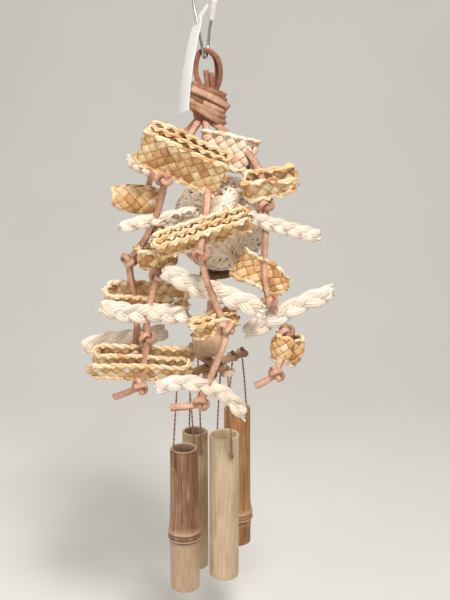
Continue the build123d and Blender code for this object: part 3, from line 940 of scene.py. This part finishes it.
def plait(shape, line, path_frames, width, lay, number):
    """Three bundles that pass over and under each other along the line."""
    period = width * lay / BRAID_STEP
    bundle = width * BUNDLE_SHARE
    thick = BRAID_THICK * BUNDLE_SHARE
    sway = width / 2 - bundle * 0.46
    last = len(line) - 1
    for strand in range(3):
        phase = 2 * math.pi * strand / 3 + number
        middle = []
        for row, (point, (up, face)) in enumerate(zip(line, path_frames)):
            t = 2 * math.pi * row / period + phase
            near_end = max(0, 1 - min(row, last - row) / 11)
            middle.append(point + up * (sway * math.sin(t) * (1 - 0.35 * near_end) * MM)
                          + face * (BRAID_THICK * 0.25 * math.sin(2 * t) * MM))
        rings = []
        tints = []
        for row, (point, (up, face)) in enumerate(zip(middle, frames(middle, UP))):
            t = 2 * math.pi * row / period + phase
            at_end = max(0, 1 - min(row, last - row) / 3)
            swell = (1 - 0.22 * at_end) * (1 + 0.08 * math.sin(2 * t + 1))
            ring, shade = bundle_ring(point, up, face, bundle * swell, thick * swell,
                                      strand + number, row, number)
            rings.append(ring)
            tints.append([s + 0.06 * strand for s in shade])
        shape.loft(rings, strand=number * 3 + strand, tints=tints, girth=26)


def leaf_tip(shape, start, ahead, bend, reach, width, side, rng):
    """A loose strip of leaf that stands out of a braid or its end."""
    tip = [start + ahead * (reach * t * MM) + bend * (t * t * MM) for t in LEAF_STEPS]
    sweep(shape, tip, side, leaf_strip(width, 0.1), strand=rng.random() * 50,
          tint=rng.uniform(0.1, 0.6), step=2)


def cut_end(shape, point, ahead, width, count, rng):
    """The blunt end of a braid, with loose leaf tips standing out of it."""
    for _ in range(count):
        start = (point - ahead * (3 * MM) + UP * (rng.uniform(-0.36, 0.36) * width * MM)
                 + Vector((0, rng.uniform(-0.28, 0.28) * BRAID_THICK * MM, 0)))
        bend = Vector((0, rng.uniform(-1.2, 1.2), rng.uniform(-1.6, 1.6)))
        leaf_tip(shape, start, ahead, bend, rng.uniform(4.0, 4.5 + count * 0.4),
                 rng.uniform(2.2, 4.2), UP, rng)


def stray_leaf(shape, line, path_frames, rng):
    """A leaf that has come loose along the braid's front."""
    row = rng.randrange(8, len(line) - 9)
    up, face = path_frames[row]
    face = face if face.y < 0 else -face
    start = line[row] + face * (BRAID_THICK * 0.36 * MM)
    ahead = (line[row + 1] - line[row]).normalized() * rng.choice((-1, 1))
    bend = face * 2.0 + up * rng.uniform(-2, 2)
    leaf_tip(shape, start, ahead, bend, rng.uniform(5, 8), rng.uniform(1.5, 2.6), up, rng)


def leaf_curl(shape, centre, reach, rng):
    """An open curl of leaf strip, seen end on from the front."""
    start = rng.uniform(0, 6)
    line = []
    for index in range(15):
        t = start + 5.6 * index / 14
        grown = reach * (0.78 + 0.022 * index)
        line.append((centre + Vector((grown * math.cos(t), -0.25 * index,
                                      0.8 * grown * math.sin(t)))) * MM)
    sweep(shape, line, BACK, leaf_strip(3.4, 0.0, 0.55), strand=start, tint=0.2,
          step=1.6)


def make_braid(name, number, width, route, material, body):
    """Three flat bundles of leaf, plaited and cut off blunt at both ends."""
    rng = random.Random(300 + number)
    line, _ = even(smooth_route(route), BRAID_STEP * MM)
    path_frames = frames(line, UP)
    shape = Shape()
    plait(shape, line, path_frames, width, BRAID_LAY.get(name, 2.1), number)
    cut_end(shape, line[0], (line[0] - line[4]).normalized(), width, 4, rng)
    loose = 9 if name == "braid_front_mid" else 4
    cut_end(shape, line[-1], (line[-1] - line[-5]).normalized(), width, loose, rng)
    for _ in range(3):
        stray_leaf(shape, line, path_frames, rng)
    for centre, reach in LEAF_CURLS.get(name, ()):
        leaf_curl(shape, Vector(centre), reach, rng)
    shape.object(name + "_plait", material, body, (name,))


# ---- vine ball -------------------------------------------------------------------------
BALL_CENTRE = Vector((13, 5, -203))
BALL_OUTER = 39.6
BALL_RADIUS = 39.2         # of the outermost strips' middle
BALL_STRIPS = 112
BALL_STEPS = 88            # points round one strip
STRIP_THICK = 0.8
STRIP_DEPTH = 2.2          # how far in the innermost strips lie
STRIP_WAVE = 0.45          # how far a strip waves in and out
POLE_SLOPE = 0.20          # strips leave the poles open for the lace


def ball_strip(normal, offset, radius, width, wave, swing):
    """Rings along one wavy strip that goes round the ball; offset moves it off the middle."""
    side = normal.orthogonal().normalized()
    face = normal.cross(side)
    ring_radius = math.sqrt(radius ** 2 - offset ** 2)
    rings = []
    for index, (c, s) in enumerate(circle(BALL_STEPS)):
        t = 2 * math.pi * index / BALL_STEPS
        deep = STRIP_WAVE * math.sin(5 * t + wave)
        slide = normal * (offset + swing * math.sin(2 * t + wave))
        point = BALL_CENTRE + (side * c + face * s) * (ring_radius + deep) + slide
        away = (point - BALL_CENTRE).normalized()
        across = (face * c - side * s).cross(away)
        rings.append([point * MM + across * a + away * b
                      for a, b in outline(width, STRIP_THICK, 8, 0.7)])
    return rings


def make_ball(material):
    """A hollow ball of vine strips wound every way but over its poles."""
    rng = random.Random(77)
    shape = Shape()
    made = 0
    while made < BALL_STRIPS:
        normal = any_way(rng)
        if abs(normal.z) < POLE_SLOPE:
            continue
        offset = rng.uniform(-7, 7)
        if abs(offset) + POLE_SLOPE * BALL_RADIUS > abs(normal.z) * BALL_RADIUS:
            offset = 0.0
        radius = BALL_RADIUS - rng.uniform(0, STRIP_DEPTH)
        width = rng.uniform(1.3, 3.4)
        wave = rng.uniform(0, 6)
        rings = ball_strip(normal, offset, radius, width, wave, rng.uniform(0.3, 1.2))
        shape.loft(rings, closed=True, tint=chance(rng, 0.35, 0.22), strand=made * 1.7,
                   step=2.7, girth=width * 2)
        made += 1
    shape.object("vine_ball_strips", material, "ball", ("vine_ball",))


# ---- bamboo, bead and disc -------------------------------------------------------------
TUBES = {                  # place, outer radius, wall, top, length, knuckle, swell
    "front_left": ((-17.8, -26.9), 12.6, 2.9, -388, 128, 82, 0.7),
    "back_left": ((-10.0, 27.0), 11.4, 2.4, -394, 131, None, 0.0),
    "front_right": ((16.0, -27.0), 12.5, 2.4, -375.5, 129, None, 0.0),
    "back_right": ((27.5, 31.6), 12.6, 2.6, -373, 130, 105, 1.1),
}
SLIM_TOP = {"front_left": 1.2, "back_right": 1.0}          # how much slimmer the top is
NODE_RISE = {"front_left": 4.5, "back_right": 2.5}         # outer node above the inner wall
FOOT_TONE = {"front_left": (0.0, 0.55), "back_right": (0.28, 0.0)}   # wear, pale fibre
LONG_SLAT = ("front_left", "back_right")
SHORT_SLAT = ("back_left", "front_right")
SLAT_TOP = -317.6
SLAT_THICK = 4.8
SLAT_WIDTH = 10.0
SLAT_CROWN = 1.2           # how far the top falls away at its edges
TWINE_SPACING = 7.0
PLY_WIDTH = 0.86
PLY_OFFSET = 0.38          # of each ply's middle from the twine's
PLY_TURN = 0.62            # angle from one point to the next
HAIRS = 46
HOLE_DROP = 15.0


def turned(shape, axis_point, profile, around=72, uneven=0.0, seed=0.0):
    """Turns a profile of (radius, height, tint, cut) about a vertical axis."""
    rings = []
    for radius, height, _, _ in profile:
        ring = []
        for c, s in circle(around):
            grow = 1 + uneven * noise.noise(Vector((c * 1.2, s * 1.2, height * 0.02 + seed)))
            ring.append((axis_point + Vector((c * radius * grow, s * radius * grow, height)))
                        * MM)
        rings.append(ring)
    shape.loft(rings, tints=[[tint] * around for _, _, tint, _ in profile],
               cut=[cut for _, _, _, cut in profile], closed=True)


NODE_SHAPE = (             # height from the node, extra radius, wear, pale fibre
    (9.0, 0.0, 0.02, 0.0), (5.5, 0.25, 0.02, 0.25), (3.6, 0.55, 0.0, 0.55),
    (2.6, 0.95, 0.1, 0.3), (2.0, 0.55, 0.5, 0.0), (1.0, 0.62, 0.12, 0.1),
    (-0.6, 0.72, 0.12, 0.1), (-2.0, 0.62, 0.45, 0.0), (-2.6, 1.15, 0.05, 0.6),
    (-3.6, 1.0, 0.05, 0.6), (-4.4, 0.2, 0.5, 0.0), (-6.2, -0.05, 0.32, 0.1),
    (-8.5, 0.0, 0.05, 0.2),
)


def tube_profile(name, outer, wall, top, length, knuckle, swell):
    """Outside, foot, bore and rim of a bamboo tube, as one closed outline."""
    bore = outer - wall
    foot = top - length
    slim = SLIM_TOP.get(name, 0.0)
    foot_wear, foot_pale = FOOT_TONE.get(name, (0.0, 0.0))
    inner_node = top - knuckle if knuckle else None
    node = inner_node + NODE_RISE[name] if knuckle else None
    lip = outer - slim
    profile = [(lip - 1.0, top, 0.0, 1), (lip - 0.35, top - 0.1, 0.02, 0.8),
               (lip, top - 0.7, 0.05, 0)]
    for index in range(44):
        z = top - 3 - (length - 6) * index / 43
        share = (top - z) / (knuckle or length)
        radius = outer - slim * max(0, 1 - share)
        tone = (0.0, 0.0)
        if knuckle:
            radius += swell * math.exp(-((z - node) / 9.0) ** 2)
            if abs(z - node) < 9.5:
                continue
            tone = (foot_wear, foot_pale) if z < node else tone
        profile.append((radius, z, *tone))
    if knuckle:
        for rise, extra, wear_and_shade, pale in NODE_SHAPE:
            radius = outer + swell * math.exp(-(rise / 9.0) ** 2) + extra
            low = rise < -5
            profile.append((radius, node + rise, max(wear_and_shade, foot_wear) if low else wear_and_shade,
                            max(pale, foot_pale) if low else pale))
        profile.sort(key=lambda p: -p[1])
    profile += [(outer, foot + 0.8, foot_wear, foot_pale), (outer - 0.45, foot + 0.12, 0.1, 0.8),
                (outer - 1.0, foot, 0, 1), (bore + 0.8, foot, 0, 1), (bore, foot + 0.7, 0, 0.8)]
    if knuckle:
        profile += [(bore if rise ** 2 > 4 else bore - 1 if rise ** 2 > 2 else 0.2,
                     inner_node + rise, 0.3, 0.5) for rise in (-2.5, -1.5, -1.2, 1.2, 1.5, 2.5)]
    low = profile[-1][1]
    span = top - 0.7 - low
    profile += [(bore - slim * 0.5 * (index + 1) / 8, low + span * (index + 1) / 8, 0.3, 0.4)
                for index in range(8)]
    profile.append((bore - slim * 0.5 + 0.8, top, 0, 1))
    return profile


def slat_direction(names):
    first, second = (Vector((*TUBES[name][0], 0)) for name in names)
    return (second - first).normalized()


def slat_of(name):
    return LONG_SLAT if name in LONG_SLAT else SHORT_SLAT


def slat_top_of(name):
    return SLAT_TOP - SLAT_THICK - 0.1 if name in LONG_SLAT else SLAT_TOP


def make_tubes(paints, twine):
    for number, (name, values) in enumerate(TUBES.items()):
        place, outer, wall, top, length, knuckle, swell = values
        body = f"tube_{name}"
        middle = Vector((*place, 0))
        profile = tube_profile(name, outer, wall, top, length, knuckle, swell)
        shape = Shape()
        turned(shape, middle, profile, 80, 0.022, number * 5)
        shape.object(f"bamboo_{name}", paints[name], body, (body,), sharp=50)
        along = slat_direction(slat_of(name))
        ties = Shape()
        for side, label in ((-1, "a"), (1, "b")):
            start_z = slat_top_of(name) - SLAT_THICK - 0.6
            beside = middle + along * (side * (outer + 1.5))
            route = (middle + along * (side * TWINE_SPACING) + UP * start_z,
                     beside + UP * (top + 2), beside + UP * (top - HOLE_DROP))
            make_twine_leg(f"twine_{name}_{label}", route, twine, body, number * 2 + side,
                           (f"twine_{name}",))
            tie = middle + along * (side * (outer + 1.4)) + UP * (top - HOLE_DROP)
            twine_ball(ties, tie, 1.9, 5 + side)
        ties.object(f"twine_{name}_ties", twine, body)


def make_twine_leg(name, route, material, body, seed, replaced):
    """Two plies of jute twisted round each other, with loose hairs."""
    rng = random.Random(seed + 60)
    line, length = even(spline_points([tuple(p) for p in route]), 0.8 * MM)
    shape = Shape()
    path_frames = frames(line, RIGHT)
    for ply in range(2):
        strand = []
        for row, (point, (side, face)) in enumerate(zip(line, path_frames)):
            angle = row * PLY_TURN + ply * math.pi
            strand.append(point + (side * math.cos(angle) + face * math.sin(angle))
                          * (PLY_OFFSET * MM))
        section = outline(PLY_WIDTH, PLY_WIDTH, 7, 1.0)
        sweep(shape, strand, RIGHT, lambda row, ring=section: ring, strand=ply * 3.0, step=0.8)
    for _ in range(HAIRS):
        start = line[rng.randrange(2, len(line) - 2)]
        away = any_way(rng, 0.6)
        reach = rng.uniform(0.6, 1.5)
        curl = any_way(rng) * 0.5
        hair = [start + (away * (0.5 + reach * t) + curl * (t * t * reach)) * MM
                for t in (0, 0.35, 0.7, 1.0)]
        sweep(shape, hair, away.orthogonal(), hair_section, strand=1.0)
    piece = shape.object(name, material, body, replaced)


def hair_section(row):
    """Outline of a jute hair, which thins out towards its tip."""
    width = 0.16 * (1.1 - 0.3 * row)
    return outline(width, width, 3, 1)


def twine_ball(shape, centre, radius, seed):
    """A small tied knot: a few turns of twine heaped on each other."""
    rng = random.Random(seed)
    for turn in range(3):
        normal = any_way(rng)
        side = normal.orthogonal().normalized()
        face = normal.cross(side)
        line = [(centre + (side * c + face * s) * (radius * 0.72)) * MM for c, s in circle(18)]
        rings = []
        for index, point in enumerate(line):
            run = (line[(index + 1) % 18] - line[index - 1]).normalized()
            rings.append([point + normal * a + run.cross(normal) * b
                          for a, b in outline(1.3, 1.3, 8, 1.0)])
        shape.loft(rings, closed=True, strand=turn, step=0.8)


def slat_turn(spot, along, across):
    """Rings of one turn of twine round a slat."""
    clear = 0.5            # from the slat's skin to the twine's middle
    rings = []
    for c, s in circle(32):
        a = (SLAT_WIDTH / 2 + clear) * squared(c, 0.45)
        b = (SLAT_THICK / 2 + clear) * squared(s, 0.5)
        middle = (spot + along * (0.1 + 0.5 * s) + across * a + UP * (b - SLAT_THICK / 2)) * MM
        outward = (across * c + UP * s).normalized()
        rings.append([middle + along * m + outward * n for m, n in outline(1.2, 0.9, 7, 1.0)])
    return rings


def make_slat_knots(material):
    """Each twine goes once round its slat and ends in a knot on top."""
    shape = Shape()
    for number, name in enumerate(TUBES):
        along = slat_direction(slat_of(name))
        for side in (-1, 1):
            spot = Vector((*TUBES[name][0], slat_top_of(name))) + along * (side * TWINE_SPACING)
            twine_ball(shape, spot + UP * 1.3, 2.0, number * 2 + side)
            shape.loft(slat_turn(spot, along, UP.cross(along)), closed=True, strand=0.1)
    shape.object("twine_knots_on_slats", material, "cross", ("twine_knots",))


def make_slat(name, names, half_length, material, seed):
    """A half-round strip of split bamboo with torn fibre ends."""
    along = slat_direction(names)
    across = UP.cross(along)
    centre = Vector((3, 0, slat_top_of(names[0])))
    shape = Shape()
    rings = []
    count = 20
    rows = 44
    for row in range(rows + 1):
        at_end = row in (0, rows)
        reach = (2 * row / rows - 1) * half_length
        ring = []
        for column, (c, s) in enumerate(circle(count)):
            a = SLAT_WIDTH / 2 * squared(c, 0.55)
            b = SLAT_THICK / 2 * (squared(s, 0.6) - 1)
            if s > 0:
                b -= SLAT_CROWN * (a / (SLAT_WIDTH / 2)) ** 2
            a *= 1 + 0.05 * noise.noise(Vector((reach * 0.05, column * 0.3, seed)))
            ragged = 0.9 * noise.noise(Vector((column * 1.7, seed, 3))) if at_end else 0
            ring.append((centre + along * (reach + ragged) + across * a + UP * b) * MM)
        rings.append(ring)
    # painted shade: the slat's underside gets tint 0.35, which the bamboo ramp darkens; the top is
    # left plain
    shade = [0.0 if s > 0.1 else 0.35 for _, s in circle(count)]
    shape.loft(rings, tints=[shade] * (rows + 1), cut=[1.0] + [0.0] * (rows - 1) + [1.0],
               step=2 * half_length / rows)
    shape.object(name + "_strip", material, "cross", (name,), sharp=60)


def make_bead(material):
    radius, hole = 14.0, 2.7
    shape = Shape()
    start = math.asin(hole / radius)
    profile = []
    steps = 36
    for index in range(steps + 1):
        angle = start + (math.pi - 2 * start) * index / steps
        profile.append((radius * math.sin(angle), radius * math.cos(angle), 0, 0))
    low = profile[-1][1]
    profile += [(hole - 0.3, low + 0.6, 0, 0), (hole - 0.3, -low - 0.6, 0, 0)]
    turned(shape, Vector((3, 0, -303)), profile, 72, 0.01, 2.0)
    shape.object("bead_turned", material, "bead_drop", ("bead",))


def make_disc(material):
    top = BALL_CENTRE.z - BALL_OUTER - 1
    radius, hole, foot = 13.3, 2.9, top - 4.2
    shape = Shape()
    corners = [(hole, top - 0.3), (hole + 0.6, top), (radius - 1.2, top),
               (radius - 0.3, top - 0.4), (radius, top - 1.3), (radius, foot + 1.1),
               (radius - 0.4, foot + 0.3), (radius - 1.3, foot), (hole + 0.6, foot),
               (hole, foot + 0.3)]
    turned(shape, Vector((9, 3, 0)), [(*corner, 0, 0) for corner in corners], 64, 0.05, 4.0)
    shape.object("spacer_disc_wood", material, "hanger", ("spacer_disc",))


# ---- tag and backdrop ------------------------------------------------------------------
def make_tag(material):
    """A blank card strip, a little curled, whose top is a tab creased over at the hole."""
    hole = Vector((-4.4, -7.6, -46))
    hang = Vector((-0.15, -0.42, -0.9)).normalized()
    across = Vector((0.45, -0.83, 0.31))
    across = (across - hang * across.dot(hang)).normalized()
    rise = Vector((0.55, -0.1, 0.82)).normalized()
    tab_across = (across - rise * across.dot(rise)).normalized()
    face = across.cross(hang)
    length, crease, tab, thick = 74.0, 4.3, 13.0, 0.6
    columns = 9
    shape = Shape()
    rings = []
    for row in range(45):
        reach = -tab - crease + (length + tab + crease) * row / 44
        half = 9.0
        if reach < 5:
            half = 6.0 + 3.0 * max(0, reach + crease) / (5 + crease)
        if reach < -crease:
            half = 3.5 + 2.5 * (reach + crease + tab) / tab
            base = hole - hang * crease + rise * (-crease - reach)
            side, out = tab_across, tab_across.cross(-rise)
        else:
            curl = -2.6 * math.sin(math.pi * (reach + crease) / (length + crease))
            base = hole + hang * reach + face * curl
            side, out = across, face
        ring = []
        for sign in (1, -1):
            order = range(columns) if sign > 0 else reversed(range(columns))
            for column in order:
                share = 2 * column / (columns - 1) - 1
                cup = 0.7 * share * share * max(0, min(1, reach / 30))
                ring.append((base + side * (share * half) + out * (cup + sign * thick / 2)) * MM)
        rings.append(ring)
    shape.loft(rings, step=2.2)
    shape.object("blank_tag_card", material, "tag", ("blank_tag",), sharp=40)


def make_stage(material):
    """One sheet that runs from the floor up behind the chime in a soft curve."""
    depth, radius, half = 2.4, 0.7, 4.2
    rows = [(-depth, FLOOR_Z), (WALL_Y - radius, FLOOR_Z)]
    for index in range(1, 13):
        angle = math.pi / 2 * index / 12
        rows.append((WALL_Y - radius + radius * math.sin(angle),
                     FLOOR_Z + radius - radius * math.cos(angle)))
    rows.append((WALL_Y, 2.8))
    points = [Vector((x, y, z)) for y, z in rows for x in (-half, half)]
    faces = [(2 * i, 2 * i + 1, 2 * i + 3, 2 * i + 2) for i in range(len(rows) - 1)]
    mesh = bpy.data.meshes.new("backdrop")
    mesh.from_pydata(points, [], faces)
    mesh.polygons.foreach_set("use_smooth", [True] * len(mesh.polygons))
    mesh.materials.append(material)
    sheet = bpy.data.objects.new("backdrop", mesh)
    bpy.context.collection.objects.link(sheet)


# ---- assembly --------------------------------------------------------------------------
BODY_OF = {node: body for body, nodes in frame["record"]["behaviour"]["bodies"].items()
           for node in nodes}

make_camera()
make_world()
make_light("key", (0.25, -0.75, 0.75), (0, 0, -0.25), 0.3, 15, (1.0, 0.97, 0.93))
make_light("fill", (-0.9, -0.9, -0.1), (0, 0, -0.3), 0.9, 4.5, (1.0, 0.97, 0.94))
make_light("back", (-0.3, 0.35, 0.45), (0, 0, -0.2), 0.5, 2, (1.0, 0.98, 0.95))
make_stage(backdrop_paint())

leather = leather_paint("leather", (0.56, 0.29, 0.19), (0.69, 0.41, 0.285), (0.80, 0.54, 0.41))
neck_leather = leather_paint("leather_neck", (0.33, 0.145, 0.085), (0.45, 0.22, 0.14),
                             (0.60, 0.34, 0.23))
turns_leather = leather_paint("leather_turns", (0.50, 0.25, 0.15), (0.70, 0.42, 0.28),
                              (0.84, 0.60, 0.45))
make_laces(leather)
make_loop(neck_leather)
make_binding(neck_leather, turns_leather)

golden = leaf_paint("palm_leaf", [(0.05, (0.95, 0.86, 0.66)), (0.38, (0.90, 0.71, 0.43)),
                                  (0.66, (0.78, 0.49, 0.22)), (0.98, (0.52, 0.26, 0.10))],
                    (0.66, 0.48, 0.32))
pinkish = leaf_paint("pale_weave", [(0.05, (0.97, 0.88, 0.77)), (0.5, (0.92, 0.76, 0.60)),
                                    (0.95, (0.76, 0.52, 0.36))], (0.76, 0.62, 0.5))
for number, (name, spec) in enumerate(WOVEN.items()):
    make_weave(name, number, spec, pinkish if name in PALE_WEAVE else golden, BODY_OF[name])
white = leaf_paint("pale_leaf", [(0.05, (0.96, 0.91, 0.83)), (0.40, (0.91, 0.81, 0.70)),
                                 (0.72, (0.72, 0.54, 0.40)), (1.0, (0.52, 0.35, 0.23))],
                   (0.66, 0.52, 0.42))
for number, (name, (width, route)) in enumerate(BRAIDS.items()):
    make_braid(name, number, width, route, white, BODY_OF[name])

vine = leaf_paint("vine", [(0.05, (1.0, 0.97, 0.91)), (0.45, (0.98, 0.86, 0.70)),
                           (0.95, (0.90, 0.65, 0.44))], (0.90, 0.78, 0.64),
                  gloss=(0.3, 0.5))
make_ball(vine)
make_disc(wood_paint("disc_wood", (0.23, 0.125, 0.07), (0.12, 0.06, 0.035)))
make_bead(wood_paint("bead_wood", (0.72, 0.50, 0.33), (0.58, 0.37, 0.23)))

twine_material = twine_paint()
make_tubes({
    "front_left": bamboo_paint("bamboo_front_left", (0.52, 0.32, 0.20), (0.36, 0.19, 0.11),
                               (0.20, 0.095, 0.05), 0.8, 0.05),
    "back_left": bamboo_paint("bamboo_back_left", (0.56, 0.45, 0.26), (0.48, 0.36, 0.20),
                              (0.35, 0.25, 0.13), 0.4),
    "front_right": bamboo_paint("bamboo_front_right", (0.66, 0.52, 0.35), (0.57, 0.43, 0.28),
                                (0.44, 0.31, 0.19), 0.35, -0.04),
    "back_right": bamboo_paint("bamboo_back_right", (0.62, 0.36, 0.15), (0.50, 0.25, 0.085),
                               (0.30, 0.135, 0.045), 0.5),
}, twine_material)
make_slat_knots(twine_material)
slat_material = bamboo_paint("bamboo_slat", (0.66, 0.43, 0.27), (0.54, 0.32, 0.18),
                             (0.34, 0.18, 0.10), 0.3)
make_slat("slat_short", SHORT_SLAT, 40, slat_material, 1.0)
make_slat("slat_long", LONG_SLAT, 50, slat_material, 2.0)
make_tag(pale_paint("card", (0.78, 0.76, 0.77), (0.70, 0.68, 0.69), 0.5, 0.6, 0.03))

for node, material in (("hook", wire_paint()),
                       ("hook_cap", pale_paint("hook_cap", (0.76, 0.73, 0.68),
                                               (0.62, 0.58, 0.52), 0.25, 0.38, 0.04))):
    part = frame["nodes"][node]
    if not part.material_slots:
        part.data.materials.append(material)
    for place in part.material_slots:
        place.material = material
